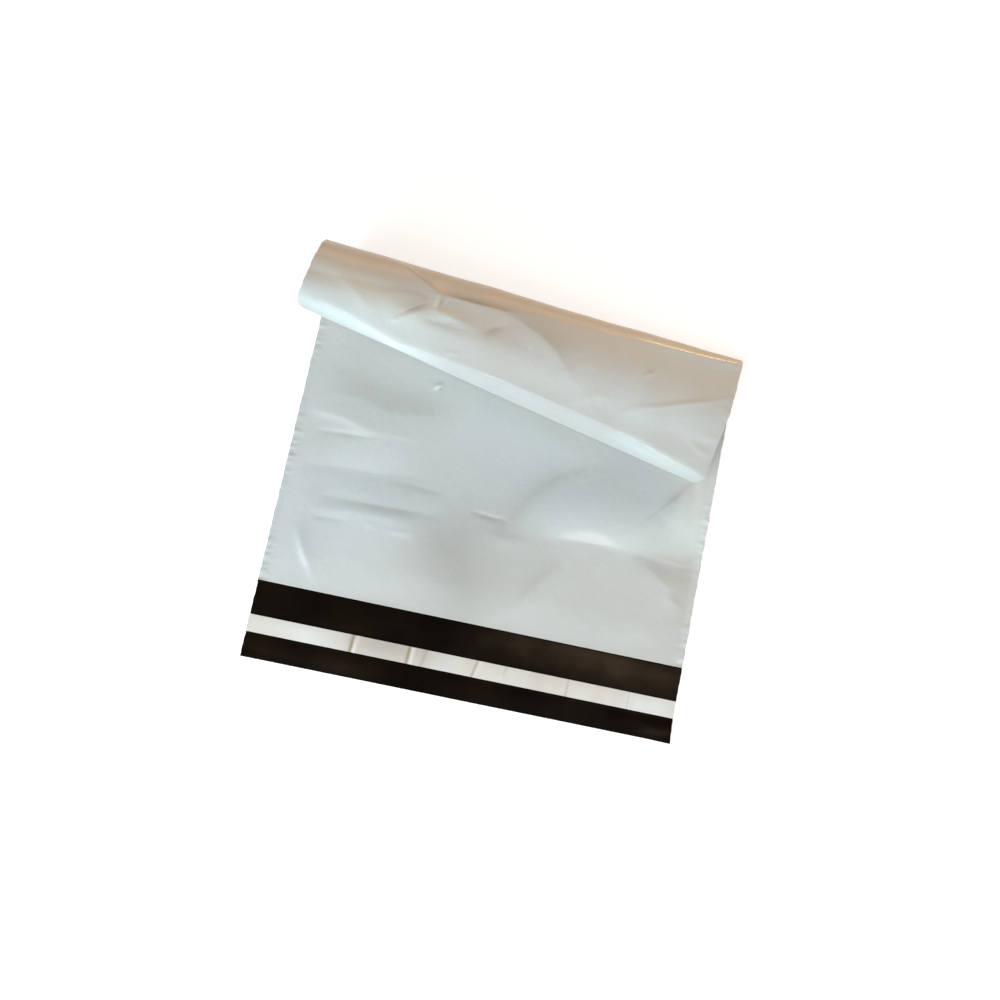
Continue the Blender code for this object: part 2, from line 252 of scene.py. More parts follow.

# Painted shade and painted highlights along creases and over broad areas: points (u, v) in mm,
# flank widths in mm, how much darker it is painted, or lighter if negative, within the range below
SHADING_RANGE = (-2.0, 1.0)
# Painted shade and highlights of the front panel: dark lines in creases, light lines on ridges, and
# broad lighter and darker areas
FACE_PAINTED_SHADING = (
    (((14, 138.5), (30, 139.5), (46, 140.2)), 0.8, 0.8, -0.45),
    (((28, 137.8), (38, 138.6), (50, 138.8)), 0.7, 0.8, 0.30),
    (((27, 99), (42, 100), (64, 100.5), (84, 101.5)), 0.8, 1.4, 0.34),
    (((62, 116.5), (72, 117), (95, 115.5)), 0.6, 0.9, 0.24),
    (((22, 86.6), (32, 87.4), (42, 88)), 0.6, 0.9, 0.22),
    (((52, 89.6), (60, 88.8)), 0.6, 0.6, -0.55),
    (((66, 87.4), (82, 88.6)), 0.6, 0.7, -0.45),
    (((113, 108.6), (122, 107.8), (134, 107.2)), 0.7, 0.7, 0.40),
    (((113, 110.2), (124, 109.4), (134, 108.8)), 0.7, 0.7, -0.20),
    (((215, 126), (222, 133), (232, 145), (240, 154)), 1.0, 4.0, 0.50),
    (((212, 104), (230, 102), (252, 102)), 1.4, 9.0, 0.46),
    (((156, 103.5), (186, 105.5), (222, 106)), 1.0, 2.6, 0.10),
    (((132, 104), (146, 126), (158, 139), (177, 149), (200, 152)), 6.0, 5.0, 0.26),
    (((150, 62), (158, 76), (170, 90)), 5.0, 2.5, 0.16),
    # A lint fleck in its own pale colour, with its painted shadow beside it
    (((76, 177), (78.6, 179.2)), 0.9, 0.9, -1.0),
    (((77.8, 176), (80, 178)), 0.7, 0.7, 0.7),
    (((4, 176), (30, 170), (60, 166), (92, 166)), 9.0, 12.0, 0.16),
    (((84, 100), (112, 76), (126, 44)), 34.0, 28.0, 0.42),
    (((156, 116), (200, 112), (246, 118)), 22.0, 14.0, -0.22),
    (((228, 130), (244, 124), (252, 110)), 12.0, 12.0, -0.80),
    (((8, 196), (66, 178), (156, 158), (236, 138)), 10.0, 16.0, -0.20),
    (((242, 172), (245, 145), (247, 112)), 7.0, 7.0, -0.75),
    (((170, 50), (206, 56), (244, 50)), 20.0, 12.0, 0.14),
    (((10, 124), (36, 106), (48, 74)), 28.0, 24.0, -0.24),
)
# Painted shade and highlights of the roll: dark lines along its folds and knot, light streaks by
# the fold near the free end, and a lighter band along that end
ROLL_PAINTED_SHADING = (
    (((44, 274), (56, 280), (64, 283), (70, 285)), 0.9, 0.7, 0.42),
    (((100, 278), (108, 279), (116.5, 280), (129.5, 283), (141, 288), (158, 300)), 0.8, 13.0, 0.24),
    (((72, 284.6), (79, 283.2), (89, 281.8), (99, 279.8), (108, 278)), 0.8, 2.6, 0.75),
    (((50, 311), (54, 305.5), (58, 301)), 0.9, 0.9, 0.55),
    (((54, 305), (60, 299), (65, 294.4)), 1.5, 1.6, 1.0),
    (((69, 286), (69.6, 289), (68.6, 294)), 0.8, 0.8, -0.60),
    (((71.6, 286), (71.8, 289), (70.6, 294)), 0.8, 0.9, 0.34),
    (((66.8, 287), (66.8, 290)), 0.8, 0.8, 0.22),
    (((64, 298.6), (71, 296.4), (78, 295.2), (86, 293)), 1.2, 1.6, -0.65),
    (((68, 302.6), (78, 300.4), (88, 297.4)), 1.8, 1.2, 0.42),
    (((40, 298), (46, 294.4), (53, 292.2), (61, 290.4)), 0.8, 3.0, 0.34),
    (((90, 295), (103, 296), (115, 296), (125, 295), (136, 296), (150, 297)), 2.0, 4.0, 0.18),
    (((101, 296), (106, 290)), 1.4, 1.4, 0.32),
    (((126.6, 293.4), (127.6, 292.6)), 0.8, 0.8, -0.5),
    (((82, 316.6), (86, 312.6), (93, 310.4)), 0.8, 0.8, 0.18),
    (((87, 319), (93, 314.6)), 0.8, 0.8, 0.24),
    (((84, 316), (90, 313.4)), 0.9, 0.9, -0.20),
    (((190, 303.4), (196, 298.8), (211, 291.8), (228, 281.8), (240, 276), (253, 267)),
     0.9, 1.0, 0.26),
    (((196, 301), (211, 294), (228, 284), (240, 278.2), (253, 269.2)), 1.0, 0.9, -0.28),
    (((197, 301.4), (207, 300.2), (220, 300.4)), 0.8, 2.2, 0.22),
    (((194, 279), (201, 274.4)), 0.8, 0.8, 0.42),
    (((194.8, 280.6), (201.8, 276)), 0.8, 0.8, -0.35),
    (((240, 303), (247, 305), (253, 304)), 0.7, 1.6, 0.20),
    (((242, 309), (248, 309.6), (253, 311)), 1.0, 0.8, -0.30),
    (((-6, 300), (36, 303), (80, 307)), 15.0, 10.0, -0.95),
    (((70, 306), (110, 305), (190, 303), (262, 297)), 12.0, 9.0, -0.32),
    (((-8, 321), (60, 322), (74, 321.6), (120, 320), (196, 319.6), (262, 321)), 4.0, 4.0, -0.28),
    (((-4, 320), (36, 321), (84, 322)), 3.6, 3.4, -1.15),
    (((12, 318), (28, 318), (41, 320), (62, 323)), 0.9, 0.9, -0.95),
    (((188, 319), (222, 320), (252, 321)), 3.6, 3.6, -0.80),
    (((194, 315.6), (209, 314.8), (219, 316.8), (238, 317.4), (252, 319)), 0.9, 0.9, -0.70),
)
# Painted shade and highlights of the liner: dark lines in the cockles with lighter lines beside
# them, and broad bands lighter at the ends and darker in the middle
LINER_PAINTED_SHADING = (
    (((60.0, 9), (61.6, 30)), 0.9, 0.6, 1.0),
    (((62.2, 9), (63.8, 30)), 0.7, 0.9, -0.9),
    (((93.4, 9), (94.4, 30)), 0.6, 0.6, 1.0),
    (((95.4, 9), (96.4, 30)), 0.7, 1.0, -0.8),
    (((101, 9), (105, 30)), 0.8, 0.8, 0.35),
    (((131.2, 9), (135.6, 30)), 0.6, 0.6, 0.8),
    (((132.9, 9), (137.3, 30)), 0.7, 0.8, -0.6),
    (((188.4, 9), (189.2, 30)), 0.5, 0.5, 0.5),
    (((225.4, 9), (226.4, 30)), 0.5, 0.5, 0.5),
    (((150.6, 18), (152, 30)), 0.6, 0.6, 0.35),
    (((-8, 20), (20, 20), (46, 20)), 9.0, 9.0, -0.55),
    (((54, 22), (90, 22), (110, 22)), 12.0, 12.0, 0.55),
    (((204, 20), (236, 20), (262, 20)), 9.0, 9.0, -0.35),
)
# Painted sheen on the black flap: a broad brownish band at the right, a glint by the right corner
# and a faint band at the left
FLAP_PAINTED_SHEEN = (
    (((136, 38), (190, 38), (262, 38)), 9.0, 9.0, 1.3),
    (((236, 4), (246, 5), (258, 7)), 2.0, 2.0, 0.6),
    (((-6, 6), (40, 5), (90, 6)), 6.0, 5.0, 0.25),
)

# The free end of the roll arches a little and turns down past a fold near its edge
ARCH_FROM = 0.95
ROLL_ARCH = 0.060
ARCH_SKEW = 0.78
END_TILT = 0.32
FOLD_PLACES = (0, 17, 41, 56, 74, 120, 196, 225, 254)
FOLD_WIDTHS = (6.0, 6.0, 4.6, 3.2, 5.0, 8.2, 9.0, 7.4, 4.6)
FOLD_ROUNDING = 0.0016
BEAD_HEIGHT = 0.00014
BEAD_WIDTH = 0.0010

# Creases of the flap's film, clear of the strips
FLAP_CREASES = (
    (((150, 38), (172, 32), (200, 34)), 4.0, 5.0, 0.5),
    (((196, 30), (214, 35), (236, 38)), 4.0, 4.0, 0.5),
    (((60, 34), (84, 38), (112, 36)), 5.0, 5.0, 0.35),
    (((214, 6), (232, 9), (250, 6)), 3.0, 4.0, 0.8),
    (((120, 7), (150, 5), (186, 8)), 5.0, 4.0, 0.4),
    (((20, 7), (48, 5), (76, 8)), 5.0, 4.0, 0.35),
)

# Cockles across the release liner: u in mm, lean in mm, half width in mm, height in mm
COCKLE_FALL = 1.4
LINER_COCKLES = (
    (61.0, -1.4, 0.55, -0.34),
    (62.6, -1.2, 1.0, 0.50),
    (94.0, 0.5, 0.55, -0.34),
    (95.6, 0.6, 0.9, 0.45),
    (102.0, 2.2, 2.2, 0.22),
    (133.0, 1.9, 0.5, -0.24),
    (134.6, 2.2, 1.0, 0.34),
    (151.0, 1.0, 0.8, 0.18),
    (170.0, -1.0, 2.4, 0.16),
    (189.0, 0.0, 0.45, -0.20),
    (190.2, 0.0, 0.9, 0.16),
    (226.0, 0.2, 0.45, -0.20),
    (227.4, 0.2, 1.0, 0.22),
    (24.0, 0.8, 3.0, 0.16),
    (42.0, -0.6, 2.6, 0.14),
)


def smooth_step(x):
    """0 below 0, 1 above 1, with a smooth rise between."""
    x = np.clip(x, 0.0, 1.0)
    return x * x * (3.0 - 2.0 * x)


def rolled(u, v):
    """The place of each point of the back panel's outer face, and the bag's normal there."""
    from_apex_u = u - APEX_U
    from_apex_v = v - APEX_V
    reach = np.hypot(from_apex_u, from_apex_v)
    past = np.arctan2(from_apex_v, -from_apex_u) - CONTACT_ANGLE
    turn = np.clip(past / CONE_SINE, 0.0, ROLL_SWEEP)[..., None]
    beyond = np.clip(past - ROLL_ANGLE, 0.0, None)[..., None]
    ruling = np.array((-math.cos(CONTACT_ANGLE), math.sin(CONTACT_ANGLE), 0.0))
    across = np.array((math.sin(CONTACT_ANGLE), math.cos(CONTACT_ANGLE), 0.0))
    upward = np.array((0.0, 0.0, 1.0))
    axis = CONE_COSINE * ruling + CONE_SINE * upward
    spoke = CONE_SINE * ruling - CONE_COSINE * upward
    ray = CONE_COSINE * axis + CONE_SINE * (np.cos(turn) * spoke + np.sin(turn) * across)
    tangent = -np.sin(turn) * spoke + np.cos(turn) * across
    apex = np.array((APEX_U, APEX_V, 0.0))
    curled = apex + reach[..., None] * (np.cos(beyond) * ray + np.sin(beyond) * tangent)
    flat = np.stack((u, v, np.zeros_like(u)), axis=-1)
    point = np.where((past > 0.0)[..., None], curled, flat)
    return point + np.array((LEFT_X, FLAP_Y, 0.0)), np.cross(tangent, ray)


def contact_line(u):
    """Where the back panel leaves the table, for each u."""
    return ROLL_START_LEFT + ROLL_SLOPE * u


def roll_line(u, share):
    """Where the bag has turned through a share of the roll's sweep, for each u."""
    return APEX_V + (APEX_U - u) * math.tan(CONTACT_ANGLE + share * ROLL_ANGLE)


def crease_height(u, v, creases, rounding=CREASE_ROUNDING):
    """Height of creases that follow broken lines, with flanks of unlike widths."""
    u = u / MM
    v = v / MM
    total = np.zeros_like(u)
    for path, left, right, peak in creases:
        points = np.array(path, dtype=float)
        runs = np.diff(points, axis=0)
        lengths = np.hypot(runs[:, 0], runs[:, 1])
        starts = np.concatenate(((0.0,), np.cumsum(lengths)))
        nearest = np.full_like(u, 1e9)
        side = np.zeros_like(u)
        share = np.zeros_like(u)
        for step, (run, length) in enumerate(zip(runs, lengths)):
            off_u = u - points[step, 0]
            off_v = v - points[step, 1]
            along = np.clip((off_u * run[0] + off_v * run[1]) / length ** 2, 0.0, 1.0)
            distance = np.hypot(off_u - along * run[0], off_v - along * run[1])
            closer = distance < nearest
            nearest = np.where(closer, distance, nearest)
            side = np.where(closer, run[0] * off_v - run[1] * off_u, side)
            share = np.where(closer, (starts[step] + along * length) / starts[-1], share)
        width = np.where(side > 0.0, left, right)
        rounded = np.sqrt(nearest ** 2 + rounding ** 2) - rounding
        from_end = CREASE_END + (1.0 - 2.0 * CREASE_END) * share
        taper = np.sin(math.pi * from_end) ** CREASE_FADE
        total += peak * taper * np.exp(-(rounded / width) ** CREASE_FALL)
    return total * MM


def swell_height(u, v, swells):
    """Height of broad oval swells and dents."""
    total = np.zeros_like(u)
    for centre, half_long, half_cross, turn, peak in swells:
        cosine = math.cos(math.radians(turn))
        sine = math.sin(math.radians(turn))
        off_u = u / MM - centre[0]
        off_v = v / MM - centre[1]
        along = (cosine * off_u + sine * off_v) / half_long
        cross = (cosine * off_v - sine * off_u) / half_cross
        total += peak * np.exp(-(along ** 2 + cross ** 2) ** SWELL_FALL)
    return total * MM


def painted_shading(u, v, shading_lines):
    """Painted shade along creases, darker by this much; painted highlight where it is negative."""
    return crease_height(u, v, shading_lines, SHADING_ROUNDING) / MM


def slack(u, v, seed, waves, shortest, longest, height):
    """Low unevenness of loose film: a sum of plane waves in seeded directions."""
    draw = np.random.default_rng(seed)
    total = np.zeros_like(u)
    for _ in range(waves):
        heading = draw.uniform(0.0, math.pi)
        wave = draw.uniform(shortest, longest)
        phase = draw.uniform(0.0, 2.0 * math.pi)
        bend = draw.uniform(-1.0, 1.0)
        along = u * math.cos(heading) + v * math.sin(heading)
        cross = v * math.cos(heading) - u * math.sin(heading)
        total += np.sin(2.0 * math.pi * along / wave + phase + bend * np.sin(cross / wave))
    return height * total / math.sqrt(waves)


def seam_crimp(u, v):
    """Short cross ripples that the welded side seams pucker into."""
    draw = np.random.default_rng(CRIMP_SEED)
    from_edge = np.minimum(u, BAG_WIDTH - u)
    ripple = np.zeros_like(v)
    for wave in CRIMP_WAVES:
        phase = draw.uniform(0.0, 2.0 * math.pi)
        lean = draw.uniform(-CRIMP_LEAN, CRIMP_LEAN)
        ripple += np.sin(2.0 * math.pi * (v + lean * from_edge) / wave + phase)
    strength = 0.55 + 0.45 * np.sin(2.0 * math.pi * v / CRIMP_PATCH + CRIMP_SEED)
    fade = np.exp(-(from_edge / CRIMP_REACH) ** 2)
    return CRIMP_HEIGHT * strength * np.clip(ripple + CRIMP_RAISE, 0.0, None) * fade


def edge_shift(u, v):
    """How far the cut side edges wander across the bag."""
    wander = sum(strength * np.sin(v / length + phase) for length, phase, strength in EDGE_WAVES)
    near_left = np.exp(-(u / EDGE_REACH) ** 2)
    near_right = np.exp(-((BAG_WIDTH - u) / EDGE_REACH) ** 2)
    return EDGE_HEIGHT * wander * (near_left + near_right)


def on_roll(u, v):
    """0 where the bag lies on the table, rising to 1 in the roll."""
    return smooth_step((v - contact_line(u)) / ROLL_FADE)


def back_offset(u, v):
    """Height of the back panel's outer face along the normal: outwards of the roll is negative."""
    creases = crease_height(u, v, ROLL_CREASES) + swell_height(u, v, ROLL_DENTS)
    soft = slack(u, v, *ROLL_SLACK)
    arch_start = roll_line(u, ARCH_FROM)
    share = np.clip((v - arch_start) / (BAG_LENGTH - arch_start), 0.0, 1.0)
    arch = ROLL_ARCH * (BAG_LENGTH - arch_start) * np.sin(math.pi * share ** ARCH_SKEW) ** 2
    fold = BAG_LENGTH - MM * np.interp(u / MM, FOLD_PLACES, FOLD_WIDTHS)
    past_fold = 0.5 * (v - fold + np.sqrt((v - fold) ** 2 + FOLD_ROUNDING ** 2))
    bead = BEAD_HEIGHT * np.exp(-((v - fold) / BEAD_WIDTH) ** 2)
    return -on_roll(u, v) * (creases + soft + arch + bead - END_TILT * past_fold)


def pocket_gap(u, v):
    """The space between the panels, with the front panel's swells and creases."""
    from_side = np.minimum(u - SIDE_SEAM, BAG_WIDTH - SIDE_SEAM - u)
    inside = np.clip(np.minimum(from_side, BAG_LENGTH - END_SEAM - v) / POCKET_EASE, 0.0, 1.0)
    folds = crease_height(u, v, FACE_CREASES) + swell_height(u, v, FACE_SWELLS)
    folds += slack(u, v, *FACE_SLACK)
    folds *= (1.0 - on_roll(u, v)) * smooth_step((v - FLAP_LENGTH) / FOLD_RISE + FOLD_AT_LIP)
    plain_gap = POCKET_GAP + PANEL_LIFT * smooth_step((v - FLAP_LENGTH) / LIFT_RISE)
    return np.sin(0.5 * math.pi * inside) * np.clip(plain_gap + folds, LEAST_GAP, None)


def table_offset(u, v):
    """What lifts both panels off the table: puckered seams and the flap's own creases."""
    flap = smooth_step((FLAP_LENGTH + 0.5 * FLAP_FADE - v) / FLAP_FADE)
    corner = np.hypot(BAG_WIDTH - u, v)
    curl = CORNER_CURL * smooth_step(1.0 - corner / CURL_RADIUS)
    wave = slack(u, v, *FLAP_SLACK) + FLAP_LIFT
    past_strips = np.abs(v - STRIPS_MIDDLE) - STRIPS_HALF
    clear = 1.0 - smooth_step(1.0 - past_strips / STRIPS_FADE)
    return seam_crimp(u, v) + flap * clear * (
        crease_height(u, v, FLAP_CREASES) + curl + np.clip(wave, 0.0, None))


def corner_inset(v):
    """How far a rounded closed-end corner draws the side edge in at v."""
    past = np.clip(v - (BAG_LENGTH - CORNER_RADIUS), 0.0, CORNER_RADIUS)
    return CORNER_RADIUS - np.sqrt(CORNER_RADIUS ** 2 - past ** 2)


def film_grid():
    """(u, v) of the film's fine grid, and the rows where its parts meet."""
    inner_count = COLUMNS + 1 - 2 * len(RIM_SHARES)
    inner = np.linspace(SIDE_SEAM, BAG_WIDTH - SIDE_SEAM, inner_count)
    rim = SIDE_SEAM * np.array(RIM_SHARES)
    columns = np.concatenate((rim, inner, BAG_WIDTH - rim[::-1]))
    contact = contact_line(columns)
    turned = roll_line(columns, 1.0)
    fit = np.minimum(1.0, (BAG_LENGTH - TAIL_MARGIN - contact) / (turned - contact))
    tail = contact + (turned - contact) * fit
    ends = [BAG_LENGTH - CORNER_RADIUS * (1.0 - math.sin(0.5 * math.pi * step / CORNER_ROWS))
            for step in range(CORNER_ROWS + 1)]
    ends = sorted(set(ends + [BAG_LENGTH - END_SEAM]))
    rows = [np.full_like(columns, FLAP_LENGTH * step / FLAP_ROWS) for step in range(FLAP_ROWS)]
    rows += [FLAP_LENGTH + (contact - FLAP_LENGTH) * step / FACE_ROWS for step in range(FACE_ROWS)]
    rows += [contact + (roll_line(columns, step / ROLL_ROWS) - contact) * fit
             for step in range(ROLL_ROWS)]
    rows += [tail + (ends[0] - tail) * step / TAIL_ROWS for step in range(TAIL_ROWS)]
    marks = {"lip": FLAP_ROWS, "contact": FLAP_ROWS + FACE_ROWS,
             "end_seam": len(rows) + ends.index(BAG_LENGTH - END_SEAM)}
    rows += [np.full_like(columns, end) for end in ends]
    v = np.array(rows)
    inset = corner_inset(v)
    u = inset + (BAG_WIDTH - 2.0 * inset) * columns / BAG_WIDTH
    return u, v, marks


def farthest(height, reach, pick):
    """The highest or lowest height within reach grid lines, which a coarse patch keeps clear of."""
    for axis in (0, 1):
        padding = [(0, 0), (0, 0)]
        padding[axis] = (reach, reach)
        padded = np.pad(height, padding, mode="edge")
        height = pick(np.lib.stride_tricks.sliding_window_view(padded, 2 * reach + 1, axis), -1)
    return height


class Layer:
    """One face of a film panel: a grid of places whose vertices are made when a face needs them."""

    def __init__(self, mesh, u, v, height, shading_there=None):
        point, normal = rolled(u + edge_shift(u, v), v)
        self.mesh = mesh
        self.place = point + height[..., None] * normal
        # Painted shade and highlights that each vertex carries
        self.painted_shading = np.zeros_like(u) if shading_there is None else shading_there
        self.vertices = {}

    def vertex(self, row, column):
        """The vertex at a grid point."""
        key = (row % self.place.shape[0], column % self.place.shape[1])
        if key not in self.vertices:
            self.vertices[key] = self.mesh.verts.new(self.place[key])
            self.vertices[key][self.mesh.verts.layers.float["painted_shading"]] = self.painted_shading[key]
        return self.vertices[key]

    def share(self, other, keys):
        """Take another layer's vertices at some grid points: (own key, other key) pairs."""
        for own, theirs in keys:
            self.vertices[own] = other.vertex(*theirs)


def steps_between(first, last, stride):
    """Grid lines from first to last, every stride lines, with last always there."""
    return [*range(first, last, stride), last]


def add_patch(layer, rows, columns, material_index, stride=1):
    """Faces over a block of a layer. A coarse block keeps every vertex along its own rim."""
    row_steps = steps_between(rows[0], rows[1], stride)
    column_steps = steps_between(columns[0], columns[1], stride)
    for low, high in zip(row_steps, row_steps[1:]):
        for left, right in zip(column_steps, column_steps[1:]):
            keys = []
            keys += [(low, c) for c in range(left, right, 1 if low == rows[0] else right - left)]
            keys += [(r, right) for r in range(low, high, 1 if right == columns[1] else high - low)]
            keys += [(high, c) for c in range(right, left, -1 if high == rows[1] else left - right)]
            keys += [(r, left) for r in range(high, low, -1 if left == columns[0] else low - high)]
            face = layer.mesh.faces.new([layer.vertex(*key) for key in keys])
            face.material_index = material_index


def add_edge_strip(mesh, low, high, material_index):
    """Faces between two runs of vertices, leaving out the edges that both runs share."""
    for step in range(len(low) - 1):
        corners = []
        for vertex in (low[step], low[step + 1], high[step + 1], high[step]):
            if vertex not in corners:
                corners.append(vertex)
        if len(corners) > 2:
            mesh.faces.new(corners).material_index = material_index


def make_object(name, mesh, materials):
    """Turn a bmesh into a smooth-shaded object."""
    bmesh.ops.recalc_face_normals(mesh, faces=mesh.faces)
    data = bpy.data.meshes.new(name)
    mesh.to_mesh(data)
    mesh.free()
    data.shade_smooth()
    data.set_sharp_from_angle(angle=SHARP_ANGLE)
    for material in materials:
        data.materials.append(material)
    obj = bpy.data.objects.new(name, data)
    bpy.context.scene.collection.objects.link(obj)
    return obj


def build_film(materials):
    """The bag's film as one closed shell: two panels, welded seams and the open pocket."""
    outside, inside = 0, 1
    u, v, marks = film_grid()
    lip, contact, end_seam = marks["lip"], marks["contact"], marks["end_seam"]
    last_row, last_column = u.shape[0] - 1, u.shape[1] - 1
    seam = len(RIM_SHARES)
    pocket = (seam, last_column - seam)
    row, column = np.indices(u.shape)
    base = back_offset(u, v) + table_offset(u, v)
    base = np.where(row < contact, np.maximum(base, 0.0), base)
    low = np.where(row < lip, farthest(base, FLAP_COARSE, np.min), farthest(base, COARSE, np.min))
    high = farthest(back_offset(u, v), COARSE, np.max) + table_offset(u, v)
    gap = pocket_gap(u, v)
    narrow = farthest(np.minimum(gap, POCKET_GAP), COARSE, np.min)
    in_pocket = (row > lip) & (row < end_seam) & (column > pocket[0]) & (column < pocket[1])

    mesh = bmesh.new()
    # Each vertex carries painted shade or a painted highlight
    mesh.verts.layers.float.new("painted_shading")
    back_outer = Layer(mesh, u, v, np.where(row < contact, low, base),
                       on_roll(u, v) * painted_shading(u, v, ROLL_PAINTED_SHADING))
    back_inner = Layer(mesh, u, v, np.where(in_pocket, high, base) + FILM,
                       (row < lip) * painted_shading(u, v, FLAP_PAINTED_SHEEN))
    front_inner = Layer(mesh, u, v, np.where(in_pocket, high + narrow, base + gap) + FILM)
    front_outer = Layer(mesh, u, v, np.where(row > contact, high, base) + 2.0 * FILM + gap,
                        (1.0 - on_roll(u, v)) * painted_shading(u, v, FACE_PAINTED_SHADING))
    for side in pocket:
        front_inner.share(back_inner, [((row, side), (row, side)) for row in range(lip, end_seam)])
    front_inner.share(back_inner, [((end_seam, column), (end_seam, column))
                                   for column in range(pocket[0], pocket[1] + 1)])

    add_patch(back_outer, (0, lip), (0, last_column), outside, FLAP_COARSE)
    add_patch(back_outer, (lip, contact), (0, last_column), outside, COARSE)
    add_patch(back_outer, (contact, last_row), (0, last_column), outside)
    add_patch(front_outer, (lip, contact), (0, last_column), outside)
    add_patch(front_outer, (contact, last_row), (0, last_column), outside, INSIDE_ROLL)
    add_patch(back_inner, (0, lip), (0, last_column), inside)
    add_patch(back_inner, (lip, end_seam), pocket, inside, COARSE)
    add_patch(front_inner, (lip, end_seam), pocket, inside, COARSE)

    def row_of(layer, row, columns=(0, last_column)):
        """The vertices along one row."""
        return [layer.vertex(row, column) for column in range(columns[0], columns[1] + 1)]

    def side_of(layer, column, first):
        """The vertices along one column, from a first row on."""
        return [layer.vertex(row, column) for row in range(first, last_row + 1)]

    lip_edge = (row_of(back_inner, lip, (0, seam - 1)) + row_of(front_inner, lip, pocket)
                + row_of(back_inner, lip, (last_column - seam + 1, last_column)))
    add_edge_strip(mesh, row_of(back_outer, 0), row_of(back_inner, 0), outside)
    add_edge_strip(mesh, lip_edge, row_of(front_outer, lip), outside)
    add_edge_strip(mesh, row_of(back_outer, last_row), row_of(back_inner, last_row), outside)
    add_edge_strip(mesh, row_of(back_inner, last_row), row_of(front_outer, last_row), outside)
    for column in (0, last_column):
        middle = side_of(back_inner, column, 0)
        add_edge_strip(mesh, side_of(back_outer, column, 0), middle, outside)
        add_edge_strip(mesh, middle[lip:], side_of(front_outer, column, lip), outside)
    return make_object("mailer_film_skin", mesh, materials)


def build_strip(name, low, high, seat, thickness, cockles, material, columns):
    """A thin strip that lies across the flap and follows its film."""
    width = high[1] - low[1]
    first_v = low[1] - FLAP_Y
    u = np.linspace(0.0, BAG_WIDTH, columns + 1)
    v = first_v + width * np.linspace(0.0, 1.0, STRIP_ROWS + 1)
    u, v = np.meshgrid(u, v)
    ripple = np.zeros_like(u)
    middle = first_v + 0.5 * width
    for centre, lean, half_width, peak in cockles:
        off = u / MM - centre - lean * (v - middle) / width
        ripple += peak * MM * np.exp(-np.abs(off / half_width) ** COCKLE_FALL)
    crown = LINER_CROWN * (1.0 - (2.0 * (v - middle) / width) ** 2) if cockles else 0.0
    wave = slack(u, v, *LINER_SLACK) if cockles else 0.0
    height = table_offset(u, v) + FILM + seat + ripple + crown + wave
    point, _ = rolled(u + edge_shift(u, v), v)

    mesh = bmesh.new()
    shading_layer = mesh.verts.layers.float.new("painted_shading")
    under, over = [
        [[mesh.verts.new((*place[:2], place[2] + rise)) for place, rise in zip(row, rises)]
         for row, rises in zip(point, heights)]
        for heights in (height, height + thickness)]
    # The top face carries painted shade and highlights
    for row, shading_lines in zip(over, painted_shading(u, v, LINER_PAINTED_SHADING)):
        for vertex, value in zip(row, shading_lines):
            vertex[shading_layer] = value
    for step in range(STRIP_ROWS):
        add_edge_strip(mesh, under[step], under[step + 1], 0)
        add_edge_strip(mesh, over[step], over[step + 1], 0)
    for row in (0, -1):
        add_edge_strip(mesh, under[row], over[row], 0)
    for column in (0, -1):
        add_edge_strip(mesh, [row[column] for row in under], [row[column] for row in over], 0)
    return make_object(name, mesh, (material,))


